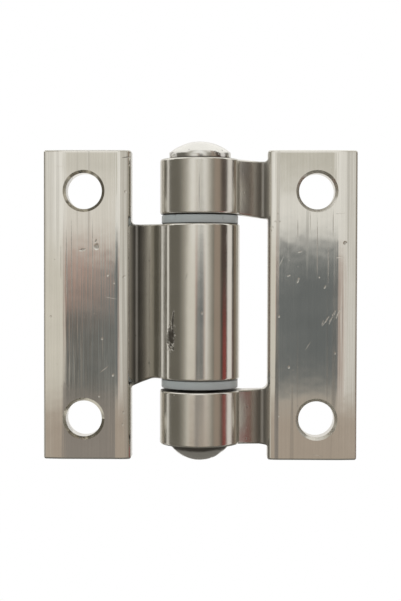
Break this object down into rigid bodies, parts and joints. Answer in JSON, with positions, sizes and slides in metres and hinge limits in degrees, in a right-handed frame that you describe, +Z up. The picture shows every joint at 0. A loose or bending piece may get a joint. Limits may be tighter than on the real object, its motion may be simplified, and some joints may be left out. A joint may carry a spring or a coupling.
{
  "type": "butterfly hinge",
  "caption": "Cast steel hinge with two screw-on leaves that turn on a riveted pin, with plastic washers between its knuckles.",
  "frame": {"origin": "on the pin axis, halfway up the hinge, which is the middle of the open hinge's box", "axes": "+Z up along the pin towards its formed head, +X towards the leaf with the two outer knuckles, +Y out of the leaves' backs"},
  "size_m": [0.0608, 0.0152, 0.0613],
  "materials": {
    "leaf_steel": "cast stainless steel, belt-brushed along the leaves and buffed on the knuckles",
    "pin_steel": "stainless steel, formed head polished, riveted foot dull",
    "washer_plastic": "smooth grey-blue plastic"
  },
  "bodies": {
    "left_leaf_body": {"left_leaf": "leaf_steel"},
    "right_leaf_body": {"right_leaf": "leaf_steel", "hinge_pin": "pin_steel", "upper_washer": "washer_plastic", "lower_washer": "washer_plastic"}
  },
  "joints": [
    {"name": "leaf_swing", "type": "hinge", "parent": "left_leaf_body", "child": "right_leaf_body", "pos_m": [0, 0, 0], "axis": [0, 0, 1], "range_deg": [-180, 115]}
  ]
}
